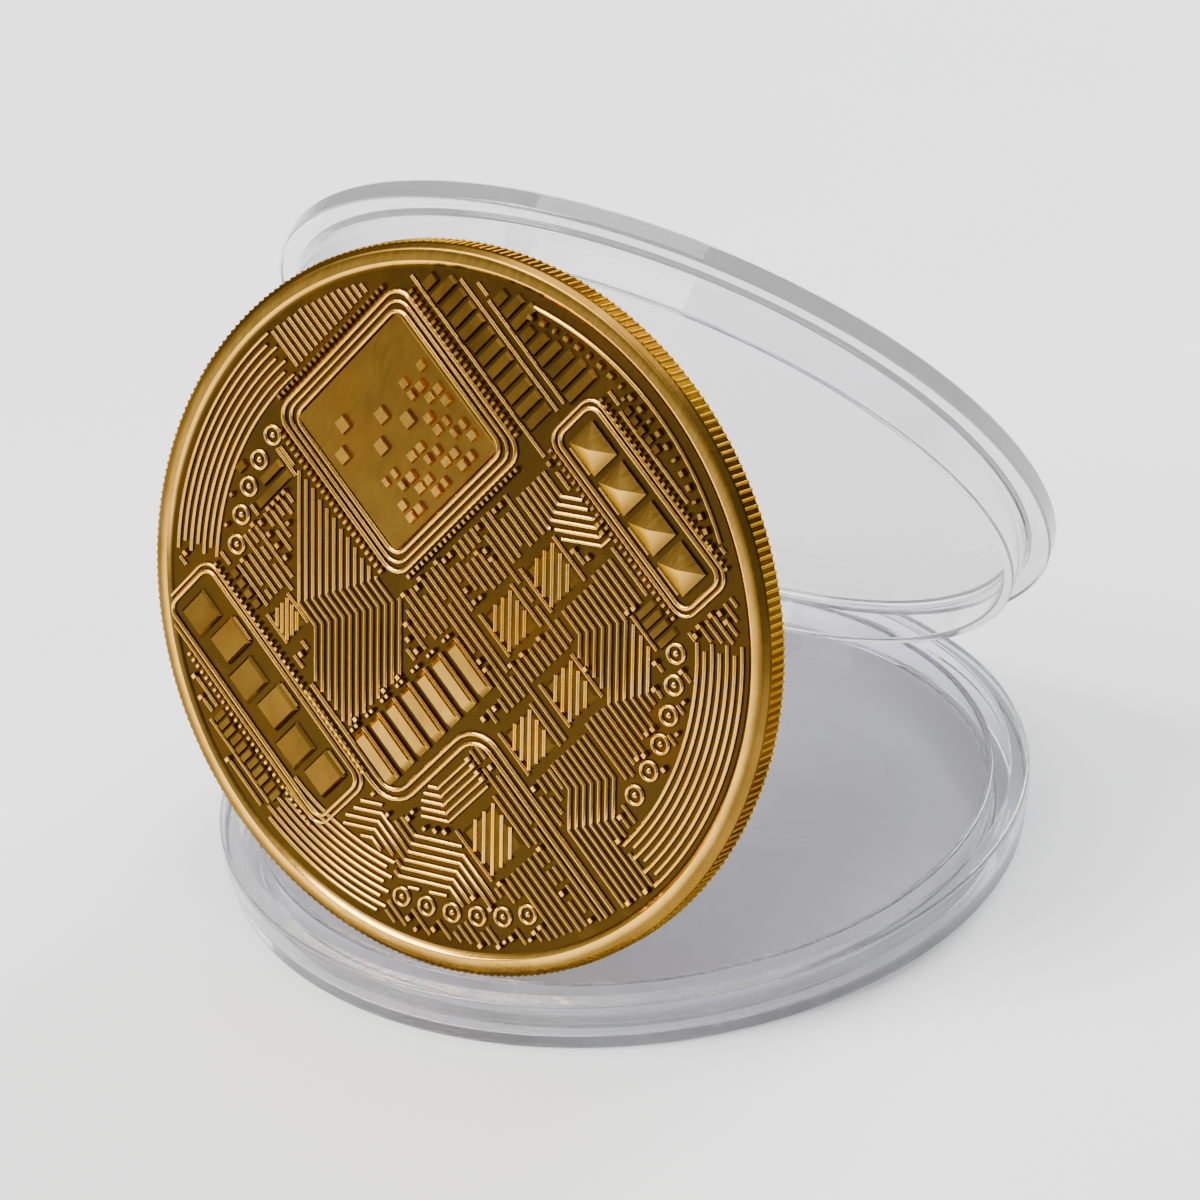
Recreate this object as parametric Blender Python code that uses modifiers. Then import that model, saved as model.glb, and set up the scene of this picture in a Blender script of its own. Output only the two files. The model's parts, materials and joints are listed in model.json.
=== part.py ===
"""A two-part round clear capsule standing open, its lid propped on the coin it holds.

Metres, +Z up, the base flat on z = 0 and centred on the origin.
"""

from math import cos, pi, radians, sin, sqrt

import bpy

SEGMENTS = 96

# the coin, which the rest is built round
COIN_RADIUS = 0.0200
COIN_THICKNESS = 0.0019
COIN_RIM_WIDTH = 0.0011
COIN_FIELD_DEPTH = 0.00018
COIN_BEVEL = 0.0003

# walls, from the coin outwards, with the play left between them when closed
COIN_PLAY = 0.0010
RING_WALL = 0.0004
RING_PLUG_GAP = 0.0001
PLUG_WALL = 0.0006
PLUG_BASE_GAP = 0.00025
BASE_WALL = 0.00105
RING_INNER_RADIUS = COIN_RADIUS + COIN_PLAY
RING_OUTER_RADIUS = RING_INNER_RADIUS + RING_WALL
PLUG_INNER_RADIUS = RING_OUTER_RADIUS + RING_PLUG_GAP
PLUG_OUTER_RADIUS = PLUG_INNER_RADIUS + PLUG_WALL
WALL_INNER_RADIUS = PLUG_OUTER_RADIUS + PLUG_BASE_GAP
CAPSULE_RADIUS = WALL_INNER_RADIUS + BASE_WALL
FOOT_INSET = 0.0003
BASE_FOOT_RADIUS = CAPSULE_RADIUS - FOOT_INSET
SHOULDER_GAP = 0.0001
PLUG_SHOULDER_RADIUS = WALL_INNER_RADIUS - SHOULDER_GAP

# heights of the base, from the table
BASE_FLOOR = 0.0011
GROOVE_FLOOR = 0.00045
BASE_HEIGHT = 0.0030
FOOT_TO_BRIM = 0.00115
BASE_FOOT_HEIGHT = BASE_HEIGHT - FOOT_TO_BRIM
RING_BELOW_BRIM = 0.0001
RING_TOP = BASE_HEIGHT - RING_BELOW_BRIM

# heights of the lid, from its outer face
BRIM_THICKNESS = 0.00115
DISC_BELOW_BRIM = 0.00008
DISC_THICKNESS = BRIM_THICKNESS - DISC_BELOW_BRIM
PLUG_SHOULDER_HEIGHT = 0.0003
PLUG_END_GAP = 0.0001
PLUG_HEIGHT = BASE_HEIGHT - GROOVE_FLOOR - PLUG_END_GAP
EDGE_CHAMFER = 0.00015

# how the pieces stand
COIN_BEARING = radians(-125.9)
COIN_LEAN = radians(15.75)
LID_BEARING = radians(56.4)

# clearances left between pieces that rest on each other
COIN_FLOOR_GAP = 0.00015
COIN_RING_GAP = 0.00025
LID_COIN_GAP = 0.0002
LID_RING_GAP = 0.0002
# how much of the lid's edge hangs inside the base's ring
LID_EDGE_INSIDE = 0.0001


def clear_scene():
    """Start from an empty file."""
    for item in list(bpy.data.objects):
        bpy.data.objects.remove(item, do_unlink=True)


def make_collection(name):
    """Add a collection to the scene."""
    group = bpy.data.collections.new(name)
    bpy.context.scene.collection.children.link(group)
    return group


def make_material(name, colour, metallic, roughness, alpha):
    """Give one piece its own plain surface."""
    material = bpy.data.materials.new(name)
    material.use_nodes = True
    shader = material.node_tree.nodes["Principled BSDF"]
    shader.inputs["Base Color"].default_value = (*colour, 1.0)
    shader.inputs["Metallic"].default_value = metallic
    shader.inputs["Roughness"].default_value = roughness
    shader.inputs["Alpha"].default_value = alpha
    material.diffuse_color = (*colour, alpha)
    return material


def turned_piece(name, profile, group, material):
    """Turn a radius and height outline about the piece's own Z axis."""
    mesh = bpy.data.meshes.new(name)
    points = [(radius, 0.0, height) for radius, height in profile]
    edges = [(i, i + 1) for i in range(len(points) - 1)]
    mesh.from_pydata(points, edges, [])
    piece = bpy.data.objects.new(name, mesh)
    group.objects.link(piece)
    screw = piece.modifiers.new("turn", "SCREW")
    screw.axis = "Z"
    screw.angle = 2.0 * pi
    screw.steps = SEGMENTS
    screw.render_steps = SEGMENTS
    screw.use_merge_vertices = True
    screw.merge_threshold = 1e-5
    screw.use_smooth_shade = True
    mesh.materials.append(material)
    return piece


def base_profile():
    """Outline of the base, from the middle of its floor to the middle of its underside."""
    edge = EDGE_CHAMFER
    return [
        (0.0, BASE_FLOOR),
        (RING_INNER_RADIUS, BASE_FLOOR),
        (RING_INNER_RADIUS, RING_TOP),
        (RING_OUTER_RADIUS, RING_TOP),
        (RING_OUTER_RADIUS, GROOVE_FLOOR),
        (WALL_INNER_RADIUS, GROOVE_FLOOR),
        (WALL_INNER_RADIUS, BASE_HEIGHT - edge),
        (WALL_INNER_RADIUS + edge, BASE_HEIGHT),
        (CAPSULE_RADIUS - edge, BASE_HEIGHT),
        (CAPSULE_RADIUS, BASE_HEIGHT - edge),
        (CAPSULE_RADIUS, BASE_FOOT_HEIGHT + edge),
        (BASE_FOOT_RADIUS, BASE_FOOT_HEIGHT),
        (BASE_FOOT_RADIUS, edge),
        (BASE_FOOT_RADIUS - edge, 0.0),
        (0.0, 0.0),
    ]


def lid_profile():
    """Outline of the lid with its outer face on z = 0 and its plug above."""
    edge = EDGE_CHAMFER
    shoulder = BRIM_THICKNESS + PLUG_SHOULDER_HEIGHT
    plug_end = BRIM_THICKNESS + PLUG_HEIGHT
    return [
        (0.0, DISC_THICKNESS),
        (PLUG_INNER_RADIUS, DISC_THICKNESS),
        (PLUG_INNER_RADIUS, plug_end),
        (PLUG_OUTER_RADIUS - edge, plug_end),
        (PLUG_OUTER_RADIUS, plug_end - edge),
        (PLUG_OUTER_RADIUS, shoulder),
        (PLUG_SHOULDER_RADIUS, shoulder),
        (PLUG_SHOULDER_RADIUS, BRIM_THICKNESS),
        (CAPSULE_RADIUS - edge, BRIM_THICKNESS),
        (CAPSULE_RADIUS, BRIM_THICKNESS - edge),
        (CAPSULE_RADIUS, edge),
        (CAPSULE_RADIUS - edge, 0.0),
        (0.0, 0.0),
    ]


def coin_profile():
    """Outline of the coin with its front on z = 0 and its back below."""
    rim = COIN_RADIUS - COIN_RIM_WIDTH
    slope = rim - COIN_FIELD_DEPTH
    back = -COIN_THICKNESS
    return [
        (0.0, -COIN_FIELD_DEPTH),
        (slope, -COIN_FIELD_DEPTH),
        (rim, 0.0),
        (COIN_RADIUS - COIN_BEVEL, 0.0),
        (COIN_RADIUS, -COIN_BEVEL),
        (COIN_RADIUS, back + COIN_BEVEL),
        (COIN_RADIUS - COIN_BEVEL, back),
        (rim, back),
        (slope, back + COIN_FIELD_DEPTH),
        (0.0, back + COIN_FIELD_DEPTH),
    ]


def coin_place():
    """Reach and height of the middle of the coin's front, standing on the floor against the ring."""
    front_low = BASE_FLOOR + COIN_FLOOR_GAP + COIN_THICKNESS * sin(COIN_LEAN)
    rise = max(RING_TOP - front_low, 0.0) / cos(COIN_LEAN)
    half = sqrt(COIN_RADIUS ** 2 - (COIN_RADIUS - rise) ** 2)
    room = RING_INNER_RADIUS - COIN_RING_GAP
    low_reach = sqrt(room ** 2 - half ** 2) + rise * sin(COIN_LEAN)
    reach = low_reach - COIN_RADIUS * sin(COIN_LEAN)
    return reach, front_low + COIN_RADIUS * cos(COIN_LEAN)


def gap_to_coin_back(across, up):
    """Distance from the coin's back face to a point, both measured towards the lid and up."""
    reach, height = coin_place()
    back_across = -reach + COIN_THICKNESS * cos(COIN_LEAN)
    back_up = height - COIN_THICKNESS * sin(COIN_LEAN)
    return (across - back_across) * cos(COIN_LEAN) - (up - back_up) * sin(COIN_LEAN)


def lid_place():
    """Low corner of the lid and its slope, leaning from the ring's edge until its plug meets the coin."""
    plug_end = BRIM_THICKNESS + PLUG_HEIGHT
    plug_far = CAPSULE_RADIUS + PLUG_OUTER_RADIUS
    along = BRIM_THICKNESS - LID_EDGE_INSIDE
    flattest, steepest = radians(30.0), radians(85.0)
    for _ in range(40):
        slope = (flattest + steepest) / 2.0
        low_across = RING_INNER_RADIUS + along * sin(slope) - LID_RING_GAP * cos(slope)
        low_up = RING_TOP + along * cos(slope) + LID_RING_GAP * sin(slope)
        across = low_across - plug_far * cos(slope) - plug_end * sin(slope)
        up = low_up + plug_far * sin(slope) - plug_end * cos(slope)
        if gap_to_coin_back(across, up) > LID_COIN_GAP:
            steepest = slope
        else:
            flattest = slope
    return low_across, low_up, slope


def build():
    """Make the three pieces where they stand."""
    clear_scene()
    group = make_collection("coin_capsule")

    clear_base = make_material("clear_base", (0.86, 0.88, 0.92), 0.0, 0.08, 0.35)
    turned_piece("capsule_base", base_profile(), group, clear_base)

    gold = make_material("gilt_coin", (0.72, 0.47, 0.14), 1.0, 0.3, 1.0)
    coin = turned_piece("coin", coin_profile(), group, gold)
    reach, height = coin_place()
    coin.location = (reach * cos(COIN_BEARING), reach * sin(COIN_BEARING), height)
    coin.rotation_euler = (0.0, pi / 2.0 - COIN_LEAN, COIN_BEARING)

    low_across, low_up, slope = lid_place()
    pivot = bpy.data.objects.new("lid_pivot", None)
    pivot.empty_display_size = 0.005
    group.objects.link(pivot)
    pivot.location = (low_across * cos(LID_BEARING), low_across * sin(LID_BEARING), low_up)
    pivot.rotation_euler = (0.0, pi - slope, LID_BEARING - pi)

    clear_lid = make_material("clear_lid", (0.88, 0.88, 0.9), 0.0, 0.08, 0.35)
    lid = turned_piece("capsule_lid", lid_profile(), group, clear_lid)
    lid.parent = pivot
    lid.location = (-CAPSULE_RADIUS, 0.0, 0.0)
    print("coin reach %.5f height %.5f" % (reach, height))
    print("lid pivot", [round(v, 6) for v in pivot.location], "slope", round(slope, 5))


build()
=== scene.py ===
import json
import random
from math import atan2, ceil, cos, degrees, hypot, pi, radians, sin, sqrt, tan

import bmesh
import bpy
import numpy as np
from mathutils import Matrix, Vector

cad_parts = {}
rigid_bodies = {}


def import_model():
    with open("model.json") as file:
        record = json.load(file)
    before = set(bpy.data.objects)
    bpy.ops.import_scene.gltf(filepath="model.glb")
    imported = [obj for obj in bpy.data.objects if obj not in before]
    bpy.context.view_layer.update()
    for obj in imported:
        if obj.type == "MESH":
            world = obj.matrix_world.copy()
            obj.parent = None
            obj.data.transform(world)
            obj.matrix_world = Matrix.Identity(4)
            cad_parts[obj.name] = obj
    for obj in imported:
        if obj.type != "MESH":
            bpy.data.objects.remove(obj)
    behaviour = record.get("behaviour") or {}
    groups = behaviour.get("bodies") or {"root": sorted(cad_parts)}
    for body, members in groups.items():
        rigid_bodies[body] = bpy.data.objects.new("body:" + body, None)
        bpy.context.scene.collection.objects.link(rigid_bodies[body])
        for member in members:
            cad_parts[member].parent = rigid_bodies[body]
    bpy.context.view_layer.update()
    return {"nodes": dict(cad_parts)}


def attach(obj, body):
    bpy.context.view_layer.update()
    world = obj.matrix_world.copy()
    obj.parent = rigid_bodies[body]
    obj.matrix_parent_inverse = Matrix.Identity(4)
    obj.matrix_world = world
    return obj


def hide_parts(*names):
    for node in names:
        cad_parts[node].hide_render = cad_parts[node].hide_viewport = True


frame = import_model()
mm = 0.001


def placeAt(nodeName, towards, atFront):
    # where a round piece sits: its Z runs along its axis, on the side that looks towards the given way,
    # and starts at the front or the back of the piece
    points = np.array([v.co for v in frame["nodes"][nodeName].data.vertices])
    points = np.unique(np.round(points, 6), axis=0)  # points stored more than once would pull the middle
    middle = points.mean(axis=0)
    axis = Vector(np.linalg.svd(points - middle, full_matrices=False)[2][2])
    if axis.dot(Vector(towards)) < 0:
        axis = -axis
    reach = (points - middle) @ np.array(axis)
    upSlope = Vector((0, 0, 1)) - axis * axis.z
    if upSlope.length < 0.01:
        upSlope = Vector((0, 1, 0))
    upSlope.normalize()
    turn = Matrix((upSlope.cross(axis), upSlope, axis)).transposed().to_4x4()
    return Matrix.Translation(Vector(middle) + axis * (reach.max() if atFront else reach.min())) @ turn


def roundedOutline(corners, steps=4):
    # an outline of radius and height in millimetres, with each corner rounded by its own third number
    path = []
    for i, corner in enumerate(corners):
        here = Vector(corner[:2])
        size = corner[2] if len(corner) > 2 else 0
        if size == 0:
            path.append(here)
            continue
        before = (Vector(corners[i - 1][:2]) - here).normalized()
        after = (Vector(corners[i + 1][:2]) - here).normalized()
        half = before.angle(after) / 2
        back = size / tan(half)
        centre = here + (before + after).normalized() * size / sin(half)
        start = here + before * back - centre
        sweep = start.angle_signed(here + after * back - centre)
        path += [centre + Matrix.Rotation(-sweep * k / steps, 2) @ start for k in range(steps + 1)]
    return path


def withSupport(path, margin=0.05):
    # a point close to both ends of each long straight keeps flats flat under smooth shading
    out = [path[0]]
    for a, b in zip(path, path[1:]):
        length = (b - a).length
        if length > 4 * margin:
            out += [a.lerp(b, margin / length), a.lerp(b, 1 - margin / length)]
        out.append(b)
    return out


def turnOutline(path, around):
    # turns an outline that starts and ends on the axis into a closed mesh
    mesh = bmesh.new()
    first = mesh.verts.new((0, 0, path[0].y * mm))
    last = mesh.verts.new((0, 0, path[-1].y * mm))
    rings = []
    for point in path[1:-1]:
        rings.append([mesh.verts.new((point.x * mm * cos(2 * pi * k / around),
                                      point.x * mm * sin(2 * pi * k / around),
                                      point.y * mm)) for k in range(around)])
    for k in range(around):
        n = (k + 1) % around
        mesh.faces.new((first, rings[0][k], rings[0][n]))
        mesh.faces.new((last, rings[-1][n], rings[-1][k]))
        for upper, lower in zip(rings, rings[1:]):
            mesh.faces.new((upper[k], lower[k], lower[n], upper[n]))
    return mesh


def finishMesh(name, data, place, material, body):
    # stores a mesh as a piece at the origin, with its place in its points
    if isinstance(data, bmesh.types.BMesh):
        mesh = bpy.data.meshes.new(name)
        data.to_mesh(mesh)
        data.free()
    else:
        mesh = data
        mesh.name = name
    mesh.transform(place)
    mesh.shade_smooth()
    if not mesh.materials:
        mesh.materials.append(material)
    piece = bpy.data.objects.new(name, mesh)
    bpy.context.scene.collection.objects.link(piece)
    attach(piece, body)
    return piece


def markPaintedLight(mesh, rule):
    # how much painted highlight each point gets, from 0 for painted shade to 1 for full painted highlight,
    # mostly from how far it stands out of the coin's field; kept for the metal's colour
    layer = mesh.attributes.new("relief", "FLOAT", "POINT")
    for vert, value in zip(mesh.vertices, layer.data):
        value.value = min(max(rule(vert.co), 0), 1)


def paintLightByHeight(mesh, low, high):
    # the higher a point stands, the more painted highlight it gets
    markPaintedLight(mesh, lambda point: (point.z - low) / (high - low))


class NodeTree:
    def __init__(self, name, inputs):
        self.tree = bpy.data.node_groups.new(name, "GeometryNodeTree")
        sockets = self.tree.interface
        sockets.new_socket("Geometry", in_out="INPUT", socket_type="NodeSocketGeometry")
        self.ids = {}
        for label, (kind, value) in inputs.items():
            socket = sockets.new_socket(label, in_out="INPUT", socket_type=kind)
            if value is not None:
                socket.default_value = value
            self.ids[label] = socket.identifier
        sockets.new_socket("Geometry", in_out="OUTPUT", socket_type="NodeSocketGeometry")
        self.start = self.tree.nodes.new("NodeGroupInput")
        self.end = self.tree.nodes.new("NodeGroupOutput")

    def node(self, kind, settings=None, sockets=None):
        made = self.tree.nodes.new(kind)
        for key, value in (settings or {}).items():
            setattr(made, key, value)
        for key, value in (sockets or {}).items():
            if isinstance(value, bpy.types.NodeSocket):
                self.tree.links.new(value, made.inputs[key])
            else:
                made.inputs[key].default_value = value
        return made

    def given(self, label):
        return self.start.outputs[label]

    def close(self, geometry, material):
        real = self.node("GeometryNodeRealizeInstances", None, {"Geometry": geometry})
        painted = self.node("GeometryNodeSetMaterial", None,
                            {"Geometry": real.outputs[0], "Material": material})
        self.tree.links.new(painted.outputs[0], self.end.inputs[0])

    def run(self, mesh, values):
        # evaluates the tree on a mesh and gives back the plain mesh that it makes
        holder = bpy.data.objects.new("holder", mesh)
        bpy.context.scene.collection.objects.link(holder)
        grow = holder.modifiers.new("grow", "NODES")
        grow.node_group = self.tree
        for label, value in values.items():
            grow[self.ids[label]] = value
        graph = bpy.context.evaluated_depsgraph_get()
        result = bpy.data.meshes.new_from_object(holder.evaluated_get(graph))
        bpy.data.objects.remove(holder, do_unlink=True)
        return result


def ridgeTree():
    # sweeps a flattened oval along every edge path
    t = NodeTree("ridges along paths", {"width": ("NodeSocketFloat", 0.0003),
                                        "height": ("NodeSocketFloat", 0.00015),
                                        "material": ("NodeSocketMaterial", None)})
    paths = t.node("GeometryNodeMeshToCurve", None, {"Mesh": t.start.outputs["Geometry"]})
    level = t.node("GeometryNodeSetCurveNormal", {"mode": "Z_UP"}, {"Curve": paths.outputs[0]})
    oval = t.node("GeometryNodeCurvePrimitiveCircle", {"mode": "RADIUS"}, {"Resolution": 8, "Radius": 1.0})
    size = t.node("ShaderNodeCombineXYZ", None, {"X": t.given("width"), "Y": t.given("height"), "Z": 1.0})
    flat = t.node("GeometryNodeTransform", None, {"Geometry": oval.outputs[0], "Scale": size.outputs[0]})
    swept = t.node("GeometryNodeCurveToMesh", None,
                   {"Curve": level.outputs[0], "Profile Curve": flat.outputs[0], "Fill Caps": True})
    t.close(swept.outputs[0], t.given("material"))
    return t


def padTree():
    # stands a four-sided block with sloped sides on each point, as large and turned as its point says
    t = NodeTree("blocks on points", {"taper": ("NodeSocketFloat", 0.8),
                                      "material": ("NodeSocketMaterial", None)})
    block = t.node("GeometryNodeMeshCone", None,
                   {"Vertices": 4, "Radius Top": t.given("taper"), "Radius Bottom": 1.0, "Depth": 1.0})
    square = t.node("GeometryNodeTransform", None,
                    {"Geometry": block.outputs[0], "Rotation": (0, 0, pi / 4)})
    square = t.node("GeometryNodeTransform", None,
                    {"Geometry": square.outputs[0], "Scale": (sqrt(0.5), sqrt(0.5), 1)})
    size = t.node("GeometryNodeInputNamedAttribute", {"data_type": "FLOAT_VECTOR"}, {"Name": "size"})
    turn = t.node("GeometryNodeInputNamedAttribute", {"data_type": "FLOAT"}, {"Name": "turn"})
    spin = t.node("ShaderNodeCombineXYZ", None, {"Z": turn.outputs[0]})
    points = t.node("GeometryNodeMeshToPoints", None, {"Mesh": t.start.outputs["Geometry"]})
    stood = t.node("GeometryNodeInstanceOnPoints", None,
                   {"Points": points.outputs[0], "Instance": square.outputs[0],
                    "Rotation": spin.outputs[0], "Scale": size.outputs[0]})
    t.close(stood.outputs[0], t.given("material"))
    return t


def eyeletTree():
    # a raised ring with a dot in it on each point
    t = NodeTree("eyelets on points", {"ring radius": ("NodeSocketFloat", 0.0005),
                                       "ring width": ("NodeSocketFloat", 0.00013),
                                       "dot radius": ("NodeSocketFloat", 0.0002),
                                       "height": ("NodeSocketFloat", 0.00016),
                                       "material": ("NodeSocketMaterial", None)})
    around = t.node("GeometryNodeCurvePrimitiveCircle", {"mode": "RADIUS"},
                    {"Resolution": 20, "Radius": t.given("ring radius")})
    level = t.node("GeometryNodeSetCurveNormal", {"mode": "Z_UP"}, {"Curve": around.outputs[0]})
    oval = t.node("GeometryNodeCurvePrimitiveCircle", {"mode": "RADIUS"}, {"Resolution": 8, "Radius": 1.0})
    size = t.node("ShaderNodeCombineXYZ", None,
                  {"X": t.given("ring width"), "Y": t.given("height"), "Z": 1.0})
    flat = t.node("GeometryNodeTransform", None, {"Geometry": oval.outputs[0], "Scale": size.outputs[0]})
    ring = t.node("GeometryNodeCurveToMesh", None,
                  {"Curve": level.outputs[0], "Profile Curve": flat.outputs[0]})
    dot = t.node("GeometryNodeMeshUVSphere", None, {"Segments": 10, "Rings": 6, "Radius": 1.0})
    low = t.node("ShaderNodeCombineXYZ", None,
                 {"X": t.given("dot radius"), "Y": t.given("dot radius"), "Z": t.given("height")})
    bead = t.node("GeometryNodeTransform", None, {"Geometry": dot.outputs[0], "Scale": low.outputs[0]})
    both = t.node("GeometryNodeJoinGeometry")
    t.tree.links.new(ring.outputs[0], both.inputs[0])
    t.tree.links.new(bead.outputs[0], both.inputs[0])
    points = t.node("GeometryNodeMeshToPoints", None, {"Mesh": t.start.outputs["Geometry"]})
    stood = t.node("GeometryNodeInstanceOnPoints", None,
                   {"Points": points.outputs[0], "Instance": both.outputs[0]})
    t.close(stood.outputs[0], t.given("material"))
    return t


def pathMesh(paths):
    # edges only: one chain for each path, closed where its ends meet
    points, edges = [], []
    for path in paths:
        closed = len(path) > 2 and hypot(path[0][0] - path[-1][0], path[0][1] - path[-1][1]) < 1e-6
        own = path[:-1] if closed else path
        start = len(points)
        points += [(p[0] * mm, p[1] * mm, (p[2] if len(p) > 2 else 0) * mm) for p in own]
        edges += [(start + i, start + i + 1) for i in range(len(own) - 1)]
        if closed:
            edges.append((start + len(own) - 1, start))
    mesh = bpy.data.meshes.new("paths")
    mesh.from_pydata(points, edges, [])
    return mesh


def pointMesh(places, sizes=None, turns=None):
    mesh = bpy.data.meshes.new("points")
    mesh.from_pydata([(x * mm, y * mm, z * mm) for x, y, z in places], [], [])
    if sizes:
        layer = mesh.attributes.new("size", "FLOAT_VECTOR", "POINT")
        for item, value in zip(layer.data, sizes):
            item.vector = [v * mm for v in value]
    if turns:
        layer = mesh.attributes.new("turn", "FLOAT", "POINT")
        for item, value in zip(layer.data, turns):
            item.value = value
    return mesh


class Link:
    # a socket that sums can be written with
    def __init__(self, surface, socket):
        self.surface, self.socket = surface, socket

    def sum(self, operation, first, second):
        return self.surface.node("ShaderNodeMath", {"operation": operation}, {0: first, 1: second})

    def __add__(self, other):
        return self.sum("ADD", self, other)

    def __radd__(self, other):
        return self.sum("ADD", other, self)

    def __sub__(self, other):
        return self.sum("SUBTRACT", self, other)

    def __rsub__(self, other):
        return self.sum("SUBTRACT", other, self)

    def __mul__(self, other):
        return self.sum("MULTIPLY", self, other)


class Surface:
    def __init__(self, name, constants):
        self.material = bpy.data.materials.new(name)
        self.material.use_nodes = True
        self.tree = self.material.node_tree
        self.shader = self.tree.nodes["Principled BSDF"]
        for key, value in constants.items():
            self.shader.inputs[key].default_value = value

    def node(self, kind, settings=None, sockets=None, output=0):
        made = self.tree.nodes.new(kind)
        for key, value in (settings or {}).items():
            if key == "stops":
                ramp = made.color_ramp
                while len(ramp.elements) < len(value):
                    ramp.elements.new(0.5)
                for element, (place, colour) in zip(ramp.elements, value):
                    element.position, element.color = place, colour
            else:
                setattr(made, key, value)
        for key, value in (sockets or {}).items():
            if isinstance(value, Link):
                self.tree.links.new(value.socket, made.inputs[key])
            else:
                made.inputs[key].default_value = value
        return Link(self, made.outputs[output])

    def where(self):
        return self.node("ShaderNodeTexCoord", None, None, "Object")

    def noise(self, scale, detail=3.0, roughness=0.5, stretch=None):
        place = self.where()
        if stretch:
            place = self.node("ShaderNodeMapping", None, {"Vector": place, "Scale": stretch})
        return self.node("ShaderNodeTexNoise", None,
                         {"Vector": place, "Scale": scale, "Detail": detail, "Roughness": roughness})

    def between(self, value, low, high):
        return self.node("ShaderNodeMapRange", {"clamp": True},
                         {"Value": value, "From Min": low, "From Max": high})

    def blend(self, factor, first, second):
        return self.node("ShaderNodeMix", {"data_type": "RGBA"}, {0: factor, 6: first, 7: second}, 2)

    def bump(self, height, strength, distance):
        normal = self.node("ShaderNodeBump", None,
                           {"Height": height, "Strength": strength, "Distance": distance})
        self.feed("Normal", normal)

    def feed(self, name, value):
        self.tree.links.new(value.socket, self.shader.inputs[name])


# the gilt's colours from painted highlight on the ridges through a painted half-shade to painted shade in the
# recesses and field, its stains, its tint at a flat angle and its roughness
giltLook = {
    # the next three colours are painted highlight, painted half-shade and painted shade
    "high": (0.88, 0.49, 0.08, 1),
    "middle": (0.27, 0.145, 0.022, 1),
    "paintedShade": (0.075, 0.040, 0.007, 1),
    "stain": (0.16, 0.060, 0.008, 1),
    "glance": (0.62, 0.40, 0.12, 1),
    "smooth": 0.16,
    "dull": 0.34,
}


def makeGilt(name, look):
    # struck gilt metal: painted highlight on the ridges, painted shade in the recesses, faint stains and
    # hairlines
    s = Surface(name, {"Metallic": 1.0, "Specular Tint": look["glance"]})
    # the painted light value: 0 gives painted shade, 1 gives painted highlight
    relief = s.node("ShaderNodeAttribute", {"attribute_name": "relief"}, None, "Fac")
    wander = s.noise(420, 4)
    cloud = s.noise(95, 5, 0.6)
    shade = s.between(relief + (wander - 0.5) * 0.35, 0.04, 0.8)
    # ramp from painted shade through painted half-shade to painted highlight
    colour = s.node("ShaderNodeValToRGB", {"stops": [(0.0, look["paintedShade"]), (0.45, look["middle"]),
                                                     (1.0, look["high"])]}, {"Fac": shade})
    stain = s.between(cloud, 0.52, 0.72) * 0.45
    s.feed("Base Color", s.blend(stain, colour, look["stain"]))
    hairs = s.noise(900, 2, 0.5, (1, 7, 1))
    rough = look["dull"] - shade * (look["dull"] - look["smooth"]) + (hairs - 0.5) * 0.12 + stain * 0.15
    s.feed("Roughness", rough)
    s.bump(hairs + wander * 0.6, 0.12, 0.00003)
    return s.material


clearLook = {
    "tint": (0.965, 0.97, 0.99, 1),
    "haze": (0.93, 0.92, 0.98, 1),
    "clear": 1.0,
    "bend": 1.55,  # index of refraction
    "solid": 0.93,  # the rest is left out, so that thin walls stay light
}


def makeClear(name, look, cloudScale):
    # clear polished moulding with slight flow waves, faint haze and a few fine rub marks
    s = Surface(name, {"Transmission Weight": look["clear"], "IOR": look["bend"], "Metallic": 0.0,
                       "Alpha": look["solid"]})
    waves = s.noise(cloudScale, 2, 0.4)
    rubs = s.noise(260, 3, 0.6, (1, 5, 2))
    marks = s.between(rubs, 0.60, 0.78)
    s.feed("Base Color", s.blend(s.between(waves, 0.35, 0.7), look["tint"], look["haze"]))
    s.feed("Roughness", 0.015 + marks * 0.10 + waves * 0.01)
    s.bump(waves + marks * 0.05, 0.10, 0.00008)
    return s.material


giltFace = makeGilt("giltFace", giltLook)
# a darker, duller copy of the gilt for the reeded edge: painted shade on the edge
giltEdgeShaded = makeGilt("giltEdgeShaded", dict(giltLook, high=(0.62, 0.34, 0.07, 1), smooth=0.24))
clearBase = makeClear("clearBase", clearLook, 60)
clearLid = makeClear("clearLid", dict(clearLook, haze=(0.97, 0.94, 0.96, 1)), 45)
print("materials made")


# outlines of radius, height and rounding in millimetres, from the middle of the inside to that of the outside
baseShell = {
    "corners": [(0, 1.1), (21.0, 1.1, 0.16), (21.0, 2.9, 0.12), (21.4, 2.9, 0.12), (21.4, 0.45, 0.12),
                (22.35, 0.45, 0.2), (22.35, 3.0, 0.14), (23.4, 3.0, 0.16), (23.4, 1.86, 0.08),
                (23.1, 1.74, 0.08), (23.1, 0, 0.16), (0, 0)],
    "around": 288,
}

lidShell = {
    "corners": [(0, 1.07), (21.5, 1.07, 0.22), (21.5, 3.6, 0.12), (22.1, 3.6, 0.13), (22.1, 1.45, 0.06),
                (22.25, 1.42, 0.05), (22.25, 1.15, 0.06), (23.4, 1.15, 0.14), (23.4, 0, 0.18), (0, 0)],
    "around": 288,
}


def makeShell(name, shell, place, material, body, node):
    outline = withSupport(roundedOutline(shell["corners"]))
    mesh = turnOutline(outline, shell["around"])
    piece = finishMesh(name, mesh, place, material, body)
    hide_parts(node)
    return piece


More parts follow.
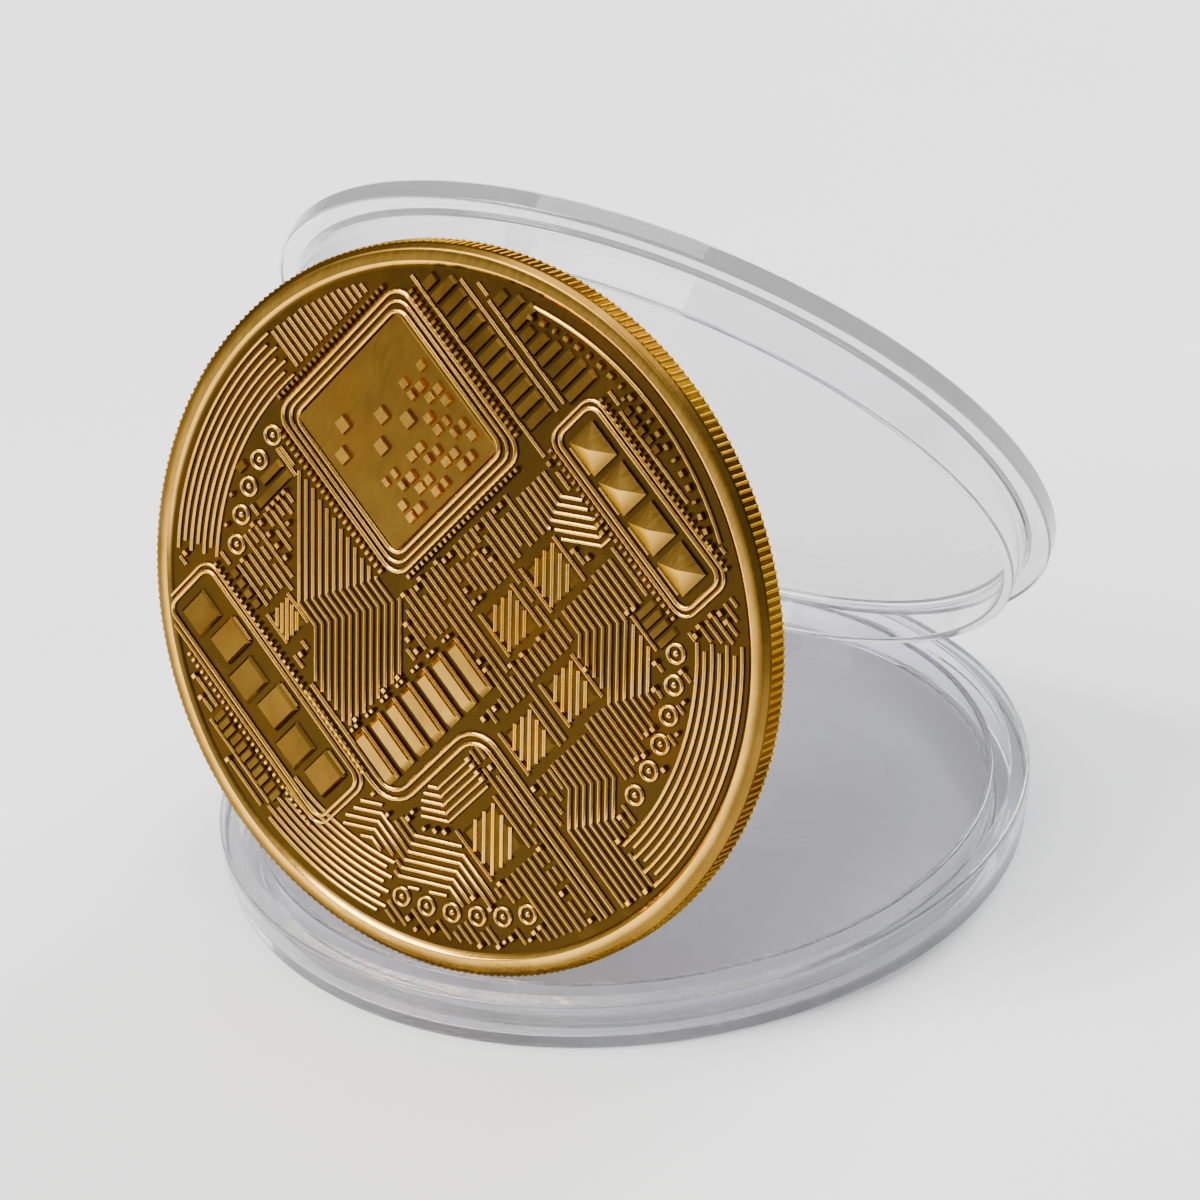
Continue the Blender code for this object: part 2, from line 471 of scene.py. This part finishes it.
basePlace = placeAt("capsule_base", (0, 0, 1), False)
lidPlace = placeAt("capsule_lid", (0, 0, -1), False)
makeShell("baseShell", baseShell, basePlace, clearBase, "base", "capsule_base")
makeShell("lidShell", lidShell, lidPlace, clearLid, "lid", "capsule_lid")
print("capsule made")


coinBody = {
    "radius": 20.0, "thickness": 1.9, "bevel": 0.3, "rim": 1.05, "rimSlope": 0.28, "field": 0.22,
    "around": 300, "reeds": 285, "reedRadius": 0.12, "reedDepth": 0.08, "reedInset": 0.03,
    # painted light: painted highlight on the crest, painted half-shade on the rim, painted shade on the side
    # and at the reeds' foot, lighter towards the reeds' top
    "shades": {"crest": 0.9, "rim": 0.3, "side": 0.05, "reedFoot": 0.02, "reedTop": 0.44},
}


def coinOutline(c):
    # front face on Z = 0, back face below it
    inner = c["radius"] - c["rim"]
    foot = inner - c["rimSlope"]
    back = -c["thickness"]
    edge = c["radius"] - c["reedDepth"]
    bevel = c["bevel"]
    return [(0, -c["field"]), (foot, -c["field"], 0.05), (inner, 0, 0.12),
            (edge - bevel, 0, 0.2), (edge, -bevel, 0.2), (edge, back + bevel, 0.2),
            (edge - bevel, back, 0.2), (inner, back, 0.12), (foot, back + c["field"], 0.05),
            (0, back + c["field"])]


def makeCoinBody(c, place):
    # painted highlight where the rim drops to the field, a duller painted half-shade on the rim's flat,
    # painted shade in the field and on the edge
    crest, shades = c["radius"] - c["rim"], c["shades"]

    def shade(point):
        reach = hypot(point.x, point.y) / mm
        if reach < crest - 0.2:
            return 0
        if reach > c["radius"] - 0.12:
            return shades["side"]
        return shades["crest"] if abs(reach - crest) < 0.14 else shades["rim"]

    mesh = bpy.data.meshes.new("coinBody")
    turned = turnOutline(withSupport(roundedOutline(coinOutline(c), 3)), c["around"])
    turned.to_mesh(mesh)
    turned.free()
    markPaintedLight(mesh, shade)
    piece = finishMesh("coinBody", mesh, place, giltFace, "coin")
    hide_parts("coin")


def makeReeds(c, place):
    # fine upright reeds round the edge, with painted shade at their foot and a lighter painted tone towards
    # their outer top
    reach = c["radius"] - c["reedRadius"]
    high = -c["bevel"] - c["reedInset"]
    low = c["bevel"] + c["reedInset"] - c["thickness"]
    spots = [2 * pi * k / c["reeds"] for k in range(c["reeds"])]
    paths = [[(reach * cos(a), reach * sin(a), high), (reach * cos(a), reach * sin(a), low)] for a in spots]
    mesh = ridgeTree().run(pathMesh(paths), {"width": c["reedRadius"] * mm, "height": c["reedRadius"] * mm,
                                             "material": giltEdgeShaded})
    # painted shade at each reed's foot, growing lighter towards its outer top
    foot, top = c["shades"]["reedFoot"], c["shades"]["reedTop"]
    markPaintedLight(mesh, lambda p: foot + (top - foot) * (hypot(p.x, p.y) / mm - reach) / c["reedRadius"])
    finishMesh("coinReeds", mesh, place, giltEdgeShaded, "coin")


coinFront = placeAt("coin", (0, -1, 0), True)
makeCoinBody(coinBody, coinFront)
makeReeds(coinBody, coinFront)
print("coin body made")


gridTurn = radians(-42)  # how far the pattern's square grid is turned on the coin

# the front, in millimetres on that grid: what is struck, in the order in which it takes its ground
pattern = {
    "limit": 18.25, "cell": 0.14, "pitch": 0.5, "ridgeWidth": 0.13, "ridgeHeight": 0.17, "seed": 11,
    "chip": {
        "at": (-9.1, 4.3), "half": 5.7, "border": 0.85, "padStep": 0.78, "loosePadStep": 1.2, "pins": 24,
    },
    # middle and half size
    "leftModule": (-4.2, -13.3, 7.4, 1.95), "rightModule": (3.0, 13.7, 5.7, 1.55), "pinStep": 0.42,
    # middle and half width
    "hatchSquares": [(2.4, 7.0, 1.45), (2.6, 3.1, 1.4), (7.6, 3.6, 1.4), (8.0, -0.4, 1.4), (10.6, -6.2, 1.7),
                     (-6.2, -8.9, 1.0)],
    "bars": {"at": (2.9, -9.4), "step": 1.42, "count": 7, "half": (1.7, 0.42)},
    "doubleLine": {
        "gap": 0.27, "bend": 1.6, "start": -2.6, "low": -10.45, "turn": 3.9, "high": -2.8, "end": 17.9,
        "keepClear": [(0.5, -10.45, 4.0, 0.6), (5.0, -9.6, 1.3, 1.2), (5.5, -6.8, 0.65, 4.2),
                      (12.0, -2.8, 6.6, 0.6)],
    },
    # start and end in degrees, first radius, how many
    "arcs": [(176, 222, 15.6, 7), (2, 49, 15.6, 7), (-88, -58, 14.9, 8)], "arcStep": 0.45,
    "rimArc": (66, 118, 18.0), "edgeLines": 25, "edgeLineStep": 0.46,
    # start and end in degrees, how many, radius
    "eyelets": [(46, 12, 6, 14.3), (-55, -26, 6, 16.6), (190, 218, 5, 14.3)],
    "combs": [
        # low wide bars side by side in a strip: the strip's middle, its half size, the step
        (-8.6, 12.1, 6.2, 0.95, 0.85), (-6.6, 15.6, 3.9, 1.5, 0.8), (3.3, 17.05, 4.6, 0.5, 0.62),
        (-13.0, -4.6, 1.5, 1.6, 0.75), (-7.6, -10.1, 2.9, 0.35, 0.7), (8.6, 10.6, 1.7, 0.9, 0.62),
        (-0.9, -16.7, 4.4, 0.5, 0.55),
    ],
    "bundles": [
        # parallel traces: their middle line, how many, how far apart
        ([(-9.6, -0.4), (-5.2, -4.8), (-3.6, -4.8), (1.2, -9.6)], 13, 0.47),
        ([(3.9, 8.3), (6.6, 8.3), (9.6, 5.3), (14.5, 5.3)], 10, 0.47),
        ([(2.6, -15.6), (5.8, -12.4), (8.4, -12.4), (10.8, -10.0), (15.5, -10.0)], 9, 0.5),
        ([(-1.9, 9.2), (0.2, 9.2), (2.0, 11.0), (2.0, 12.0)], 6, 0.45),
        ([(9.8, 1.2), (12.0, 1.2), (13.6, -0.4), (18.5, -0.4)], 7, 0.46),
        ([(6.4, -8.6), (7.4, -7.6), (7.4, -4.4)], 5, 0.44),
    ],
}


# the kinds of raised block: how far the top narrows, and the height at which a block would get full painted
# highlight, so a larger number paints its top with more shade
blockKinds = {
    "Pads": {"taper": 0.7, "paintedHighlightHeight": 0.40},
    "Peaks": {"taper": 0.04, "paintedHighlightHeight": 0.80},
    "Plates": {"taper": 0.97, "paintedHighlightHeight": 0.95},
    "Slabs": {"taper": 0.84, "paintedHighlightHeight": 1.8},
    "Bars": {"taper": 0.80, "paintedHighlightHeight": 0.7},
}
blockSunk = 0.03  # how far a block's foot goes into the field


def polar(radius, angle):
    return (radius * cos(angle), radius * sin(angle))


def distance(a, b):
    return hypot(b[0] - a[0], b[1] - a[1])


def toFace(x, y, z=0.0):
    # from the pattern's own square grid to the coin's face
    return (x * cos(gridTurn) - y * sin(gridTurn), x * sin(gridTurn) + y * cos(gridTurn), z)


def roundRect(cx, cy, hx, hy, radius, steps=5):
    path = []
    for k, (sx, sy) in enumerate([(1, 1), (-1, 1), (-1, -1), (1, -1)]):
        for i in range(steps + 1):
            a = pi / 2 * (k + i / steps)
            path.append((cx + sx * (hx - radius) + radius * cos(a),
                         cy + sy * (hy - radius) + radius * sin(a)))
    return path + [path[0]]


def offsetPath(path, off):
    # a copy of an open path, moved sideways with sharp corners kept sharp
    out = []
    for i, here in enumerate(path):
        before = Vector(here) - Vector(path[max(i - 1, 0)])
        after = Vector(path[min(i + 1, len(path) - 1)]) - Vector(here)
        a = before.normalized() if before.length else after.normalized()
        b = after.normalized() if after.length else before.normalized()
        side = Vector((-a.y - b.y, a.x + b.x)).normalized()
        reach = off / max(side.dot(Vector((-a.y, a.x))), 0.3)
        out.append((here[0] + side.x * reach, here[1] + side.y * reach))
    return out


class Board:
    # collects what is struck on one face, and remembers on a fine grid what is taken
    def __init__(self, limit, cell):
        self.limit, self.cell = limit, cell
        self.fine, self.bold, self.eyelets, self.taken = [], [], [], set()
        self.blocks = {kind: [] for kind in blockKinds}

    def reserve(self, cx, cy, hx, hy):
        for i in range(ceil((cx - hx) / self.cell), int((cx + hx) // self.cell) + 1):
            for j in range(ceil((cy - hy) / self.cell), int((cy + hy) // self.cell) + 1):
                self.taken.add((i, j))

    def reserveRing(self, startAngle, endAngle, low, high):
        span = int(20 / self.cell)
        for i in range(-span, span + 1):
            for j in range(-span, span + 1):
                x, y = i * self.cell, j * self.cell
                a = (degrees(atan2(y, x)) - startAngle) % 360
                if a < endAngle - startAngle and low < hypot(x, y) < high:
                    self.taken.add((i, j))

    def block(self, cx, cy, hx, hy, height, turn=0.0, kind="Pads"):
        self.blocks[kind].append({"at": (cx, cy), "half": (hx, hy), "height": height, "turn": turn})

    def free(self, x, y):
        return (round(x / self.cell), round(y / self.cell)) not in self.taken and hypot(x, y) < self.limit

    def freeRuns(self, path):
        # the stretches of a path over free ground, as lists of points with its corners kept
        runs, run = [], []
        for a, b in zip(path, path[1:]):
            steps = max(int(distance(a, b) / self.cell), 1)
            for k in range(steps + 1):
                p = (a[0] + (b[0] - a[0]) * k / steps, a[1] + (b[1] - a[1]) * k / steps)
                corner = k in (0, steps)
                if not self.free(*p):
                    if len(run) > 1:
                        runs.append(run)
                    run = []
                elif len(run) > 1 and not corner and not run[-1][1]:
                    run[-1] = (p, False)
                else:
                    run.append((p, corner))
        if len(run) > 1:
            runs.append(run)
        out = []
        for run in runs:
            points = [p for p, _ in run]
            kept = [points[0]] + [q for p, q in zip(points, points[1:]) if distance(p, q) > 0.05]
            if len(kept) > 1:
                out.append(kept)
        return out


def pathLength(path):
    return sum(distance(a, b) for a, b in zip(path, path[1:]))


def strikeChip(board, chip, draw):
    cx, cy = chip["at"]
    size, border, step = chip["half"], chip["border"], chip["padStep"]
    board.reserve(cx, cy, size + border, size + border)
    board.bold += [roundRect(cx, cy, size, size, 1.1),
                   roundRect(cx, cy, size - border, size - border, 0.8)]
    board.fine += [roundRect(cx, cy, size - 0.42, size - 0.42, 0.95)]
    board.block(cx, cy, size - 1.0, size - 1.0, 0.10, kind="Plates")
    # plain contact pads in bands along two sides of the plate
    for k in range(-5, 6):
        for m in range(-5, 6):
            near = (k > 1 and m > -4) or (m > 2 and k > -3)
            if near and (k + 2 * m) % 3:
                wide = 0.33 if draw.random() < 0.6 else 0.22
                board.block(cx + k * step, cy + m * step, 0.34, wide, 0.20 + 0.05 * (k % 2))
    step = chip["loosePadStep"]
    for k, m in ((-1, 0), (0, 1), (0, -1), (-2, -2), (-1, -3)):
        board.block(cx + k * step, cy + m * step, 0.46, 0.42, 0.24, kind="Bars")
    # pins round the edge
    count = chip["pins"]
    out = size + 0.42
    for k in range(count):
        along = (k - (count - 1) / 2) * 2 * (size - 0.7) / count
        for sx, sy in ((1, 0), (-1, 0), (0, 1), (0, -1)):
            x = cx + sx * out + (along if sy else 0)
            y = cy + sy * out + (along if sx else 0)
            if hypot(x, y) < board.limit:
                board.block(x, y, 0.16 if sx else 0.12, 0.12 if sx else 0.16, 0.17)


def strikeModule(board, spec, cells, peaks, pinStep):
    # a long frame with a row of peaks or of slabs in it, and pins along both sides
    cx, cy, hx, hy = spec
    board.reserve(cx, cy, hx + 0.85, hy + 0.85)
    board.bold.append(roundRect(cx, cy, hx, hy, 0.7))
    board.fine.append(roundRect(cx, cy, hx + 0.36, hy + 0.36, 0.9))
    step = 2 * (hx - 0.5) / cells
    for k in range(cells):
        x = cx - hx + 0.5 + step * (k + 0.5)
        odd = k % 2
        if peaks:
            board.block(x, cy, step * 0.43, hy * 0.62, 0.36, kind="Peaks")
        else:
            shift = 0.3 if odd else -0.3
            board.block(x, cy + shift, step * 0.42, hy * 0.55, 0.13 + 0.08 * odd, kind="Slabs")
        if peaks or odd:
            rail = cy - hy * 0.72 if peaks else cy + hy * 0.72
            board.fine.append([(x - step * 0.34, rail), (x + step * 0.34, rail)])
    for k in range(int(2 * hx / pinStep)):
        x = cx - hx + 0.3 + k * pinStep
        for y in (cy - hy - 0.64, cy + hy + 0.64):
            if hypot(x, y) < board.limit:
                board.block(x, y, 0.12, 0.13, 0.14)


def strikeHatch(board, cx, cy, size):
    # a square of slanted bars with a rail on each side
    board.reserve(cx, cy, size + 0.3, size + 0.3)
    board.block(cx, cy, size * 0.86, size * 0.86, 0.05, kind="Slabs")
    for k in range(-2, 3):
        shift = k * size * 0.56
        a = (max(-size, shift - size), min(size, shift + size))
        b = (min(size, shift + size), max(-size, shift - size))
        if distance(a, b) > 0.6:
            board.fine.append([(cx + x * 0.84, cy + y * 0.84, 0.06) for x, y in (a, b)])
    for side in (-1, 1):
        board.fine.append([(cx - size, cy + side * size), (cx + size, cy + side * size)])


def strikeBars(board, bars):
    x, y = bars["at"]
    hx, hy = bars["half"]
    for k in range(bars["count"]):
        cy = y + k * bars["step"]
        board.reserve(x, cy, hx + 0.5, bars["step"] / 2 + 0.1)
        board.block(x, cy, hx, hy, 0.20, kind="Bars")
        board.fine.append([(x - hx, cy + hy + 0.02, 0.08), (x + hx, cy + hy + 0.02, 0.08)])
        board.block(x - hx - 0.3, cy + 0.2, 0.13, 0.13, 0.17)
        board.block(x - hx - 0.3, cy - 0.2, 0.13, 0.13, 0.17)


def strikeDoubleLine(board, d):
    # the double line that leaves the long module, runs up past the bars and bends away to the rim
    quarter = [pi / 2 * k / 6 for k in range(7)]
    bend = d["bend"]
    for side in (-d["gap"], d["gap"]):
        wide, tight = bend + side, bend - side
        path = [(d["start"], d["low"] - side), (d["turn"] - 0.3, d["low"] - side)]
        path += [(d["turn"] + wide * sin(a), d["low"] + bend - wide * cos(a)) for a in quarter[1:]]
        path += [(d["turn"] + 2 * bend - tight * cos(a), d["high"] - bend + tight * sin(a)) for a in quarter]
        path += [(d["end"], d["high"] - side)]
        board.bold.append(path)
    for area in d["keepClear"]:
        board.reserve(*area)


def strikeArcs(board, arcs, step):
    # nested arcs beside the rim, every other one a little shorter
    for start, end, radius, count in arcs:
        for k in range(count):
            trim = 1.6 * (k % 2)
            turns = [radians(start + trim + (end - start - 2 * trim) * i / 22) for i in range(23)]
            board.fine.append([polar(radius + k * step, a) for a in turns])
        board.reserveRing(start, end, radius - 0.3, board.limit + 1)


def strikeEyelets(board, rows):
    for start, end, count, radius in rows:
        for k in range(count):
            a = radians(start + (end - start) * k / (count - 1))
            board.eyelets.append(polar(radius, a))
            board.reserve(*polar(radius, a), 0.78, 0.78)


def strikeEdgeLines(board, p):
    # close unbroken lines from the chip's outer side to the rim, and a thin arc with pads beside the rim
    cx, cy = p["chip"]["at"]
    side = cx - p["chip"]["half"] - 0.9
    for k in range(p["edgeLines"]):
        y = cy - 5.5 + k * p["edgeLineStep"]
        for run in board.freeRuns([(-board.limit, y), (side, y)]):
            if pathLength(run) > 0.5:
                board.fine.append(run)
    board.reserve(side - 4, cy, 4.0, 5.9)
    start, end, radius = p["rimArc"]
    turns = [radians(start + (end - start) * k / 20) for k in range(21)]
    board.fine.append([polar(radius, a) for a in turns])
    for k, a in enumerate(turns):
        board.block(*polar(radius - 0.55, a), 0.16, 0.22 if k % 3 else 0.12, 0.17, a)
    board.reserveRing(start, end, radius - 0.95, radius + 1)


def strikeCombs(board, combs):
    for cx, cy, hx, hy, step in combs:
        for k in range(int(2 * hx / step)):
            x = cx - hx + step * (k + 0.5)
            for run in board.freeRuns([(x, cy - hy), (x, cy + hy)]):
                low, high = run[0][1], run[-1][1]
                if high - low > 0.4:
                    height = 0.10 + 0.03 * (k % 3)
                    board.block(x, (low + high) / 2, step * 0.36, (high - low) / 2, height, kind="Slabs")
        for side in (-1, 1):
            rail = cy + side * (hy + 0.22)
            board.fine += board.freeRuns([(cx - hx, rail), (cx + hx, rail)])
        board.reserve(cx, cy, hx + 0.1, hy + 0.42)


def strikeBundles(board, bundles, draw):
    for path, count, pitch in bundles:
        laid = []
        for k in range(count):
            for run in board.freeRuns(offsetPath(path, (k - (count - 1) / 2) * pitch)):
                if pathLength(run) > 0.7:
                    laid.append(run)
        board.fine += laid
        for run in laid:
            if draw.random() < 0.3:
                board.block(*run[-1], 0.17, 0.17, 0.18)
            for a, b in zip(run, run[1:]):
                steps = max(int(distance(a, b) / 0.1), 1)
                for k in range(steps + 1):
                    board.reserve(a[0] + (b[0] - a[0]) * k / steps, a[1] + (b[1] - a[1]) * k / steps,
                                  0.3, 0.3)


def strikeFill(board, pitch, draw):
    # straight traces over all the ground that is left, broken here and there by gaps and pads
    rows = int(board.limit / pitch)
    for j in range(-rows, rows + 1):
        y = j * pitch
        for run in board.freeRuns([(-board.limit, y), (board.limit, y)]):
            x, end = run[0][0] + 0.05, run[-1][0] - 0.05
            while end - x > 0.25:
                length = min(draw.choice((0.5, 0.9, 1.8, 3.2, 5.0, 7.0)), end - x)
                if length < 0.6:
                    board.block(x + length / 2, y, max(length * 0.4, 0.12), 0.15, 0.16)
                else:
                    board.fine.append([(x, y), (x + length, y)])
                    if draw.random() < 0.25:
                        board.block(x, y, 0.16, 0.18, 0.17)
                x += length + 0.3


def layFront(p):
    board = Board(p["limit"], p["cell"])
    draw = random.Random(p["seed"])
    strikeChip(board, p["chip"], random.Random(p["seed"]))
    strikeModule(board, p["leftModule"], 6, False, p["pinStep"])
    strikeModule(board, p["rightModule"], 4, True, p["pinStep"])
    for square in p["hatchSquares"]:
        strikeHatch(board, *square)
    strikeBars(board, p["bars"])
    strikeDoubleLine(board, p["doubleLine"])
    strikeArcs(board, p["arcs"], p["arcStep"])
    strikeEyelets(board, p["eyelets"])
    strikeEdgeLines(board, p)
    strikeCombs(board, p["combs"])
    strikeBundles(board, p["bundles"], draw)
    strikeFill(board, p["pitch"], draw)
    return board


# the back, in millimetres, with the swing in radians
backPattern = {
    "limit": 18.25, "cell": 0.5, "ridgeWidth": 0.13, "ridgeHeight": 0.17, "rings": (4.2, 4.8, 17.7, 18.2),
    "groups": 12, "inGroup": 7, "inner": 5.8, "firstBend": 9.0, "bendStep": 1.0, "bendRun": 0.8,
    "swing": 0.06, "outer": 16.1, "outerStep": 1.5,
}


def layBack(p):
    # a plain middle inside two rings, with groups of traces that run outwards, step aside one after another
    # and end in eyelets and pads
    board = Board(p["limit"], p["cell"])
    turns = [2 * pi * k / 96 for k in range(96)]
    for radius in p["rings"]:
        ring = [polar(radius, a) for a in turns]
        board.bold.append(ring + [ring[0]])
    count = p["groups"] * p["inGroup"]
    for k in range(count):
        a = 2 * pi * k / count
        i = k % p["inGroup"]
        if i == p["inGroup"] - 1:
            # each group leaves one way free, which holds a row of pads
            for radius in (6.2, 7.1, 8.0):
                board.block(*polar(radius, a), 0.24, 0.14, 0.17, a)
            continue
        bend = p["firstBend"] + (p["inGroup"] - 2 - i) * p["bendStep"]
        reach = max(p["outer"] - (i % 3) * p["outerStep"], bend + 1.4)
        aside = a + p["swing"]
        board.fine.append([polar(p["inner"], a), polar(bend, a),
                           polar(bend + p["bendRun"], aside), polar(reach, aside)])
        if i % 3 == 0:
            board.eyelets.append(polar(p["outer"] + 0.65, aside))
        else:
            board.block(*polar(reach, aside), 0.3, 0.22, 0.2, aside)
            board.block(*polar(p["outer"] + 1.0, aside), 0.16, 0.3, 0.15, aside)
    return board


def strikeFace(board, name, place, p):
    # turns what a board holds into raised pieces on one face
    ridges = ridgeTree()
    fine = [[toFace(*q) for q in path] for path in board.fine]
    bold = [[toFace(*q) for q in path] for path in board.bold]
    for label, paths, width, height in (("Traces", fine, p["ridgeWidth"], p["ridgeHeight"]),
                                        ("Borders", bold, p["ridgeWidth"] * 1.25, p["ridgeHeight"] * 1.15)):
        mesh = ridges.run(pathMesh(paths), {"width": width * mm, "height": height * mm,
                                            "material": giltFace})
        # painted highlight on the ridges' tops, painted shade at their foot
        paintLightByHeight(mesh, 0, height * mm)
        finishMesh(name + label, mesh, place, giltFace, "coin")
    for kind, form in blockKinds.items():
        blocks = board.blocks[kind]
        if not blocks:
            continue
        places = [toFace(*b["at"], b["height"] / 2 - blockSunk) for b in blocks]
        sizes = [(2 * b["half"][0], 2 * b["half"][1], b["height"] + 2 * blockSunk) for b in blocks]
        turns = [gridTurn + b["turn"] for b in blocks]
        values = {"taper": form["taper"], "material": giltFace}
        mesh = padTree().run(pointMesh(places, sizes, turns), values)
        # painted highlight by height, weaker for the kinds painted with more shade
        paintLightByHeight(mesh, -0.10 * mm, form["paintedHighlightHeight"] * mm)
        piece = finishMesh(name + kind, mesh, place, giltFace, "coin")
        piece.data.shade_flat()
    spots = [toFace(x, y) for x, y in board.eyelets]
    mesh = eyeletTree().run(pointMesh(spots), {"material": giltFace})
    # painted highlight on the eyelets' tops, painted shade at their foot
    paintLightByHeight(mesh, 0, 0.16 * mm)
    finishMesh(name + "Eyelets", mesh, place, giltFace, "coin")


fieldFront = coinFront @ Matrix.Translation((0, 0, -coinBody["field"] * mm))
fieldBack = (coinFront @ Matrix.Translation((0, 0, (coinBody["field"] - coinBody["thickness"]) * mm))
             @ Matrix.Rotation(pi, 4, "Y"))
strikeFace(layFront(pattern), "front", fieldFront, pattern)
strikeFace(layBack(backPattern), "back", fieldBack, backPattern)
print("coin pattern made")


# metres and watts
studio = {
    "floor": (0.78, 0.78, 0.785, 1),
    "world": (0.55, 0.57, 0.60, 1), "worldStrength": 0.55,
    "lights": [
        # name, place, aim, width, height, watts, colour
        ("keySoft", (-0.30, -0.10, 0.34), (0, 0, 0.02), 0.22, 0.30, 4.6, (1.0, 0.98, 0.95)),
        ("rimSoft", (0.26, 0.30, 0.26), (0, 0, 0.02), 0.20, 0.20, 3.2, (0.96, 0.98, 1.0)),
        ("topSoft", (0.02, 0.04, 0.50), (0, 0, 0), 0.40, 0.40, 3.0, (1, 1, 1)),
    ],
}


def makeFloor(s):
    surface = Surface("paleFloor", {"Roughness": 0.55})
    grain = surface.noise(30, 3)
    pale = tuple(c * 0.97 for c in s["floor"][:3]) + (1,)
    surface.feed("Base Color", surface.blend(surface.between(grain, 0.3, 0.7), s["floor"], pale))
    mesh = bmesh.new()
    bmesh.ops.create_grid(mesh, x_segments=1, y_segments=1, size=1.5)
    data = bpy.data.meshes.new("floor")
    mesh.to_mesh(data)
    mesh.free()
    data.materials.append(surface.material)
    floor = bpy.data.objects.new("floor", data)
    bpy.context.scene.collection.objects.link(floor)


def makeLights(s):
    world = bpy.data.worlds.new("studio")
    bpy.context.scene.world = world
    world.use_nodes = True
    sky = world.node_tree.nodes["Background"]
    sky.inputs["Color"].default_value = s["world"]
    sky.inputs["Strength"].default_value = s["worldStrength"]
    for name, place, aim, width, height, watts, colour in s["lights"]:
        light = bpy.data.lights.new(name, "AREA")
        light.shape = "RECTANGLE"
        light.size, light.size_y = width, height
        light.energy, light.color = watts, colour
        lamp = bpy.data.objects.new(name, light)
        bpy.context.scene.collection.objects.link(lamp)
        lamp.location = place
        lamp.rotation_euler = (Vector(aim) - Vector(place)).to_track_quat("-Z", "Y").to_euler()


# degrees, and millimetres from the origin to the camera
shot = {"elevation": 29.34, "roll": 5.78, "lens": 123, "right": 1.55, "down": 12.47, "away": 238.4}


def makeCamera(s):
    rise, roll = radians(s["elevation"]), radians(s["roll"])
    ahead = Vector((0, cos(rise), -sin(rise)))
    flatRight = Vector((1, 0, 0))
    flatDown = ahead.cross(flatRight)
    right = flatRight * cos(roll) + flatDown * sin(roll)
    down = flatDown * cos(roll) - flatRight * sin(roll)
    data = bpy.data.cameras.new("shot")
    data.lens, data.sensor_width = s["lens"], 36
    data.clip_start, data.clip_end = 0.01, 20
    camera = bpy.data.objects.new("shot", data)
    bpy.context.scene.collection.objects.link(camera)
    place = -(right * s["right"] + down * s["down"] + ahead * s["away"]) * mm
    camera.matrix_world = Matrix.Translation(place) @ Matrix((right, -down, -ahead)).transposed().to_4x4()
    bpy.context.scene.camera = camera


makeFloor(studio)
makeLights(studio)
makeCamera(shot)
print("studio made")
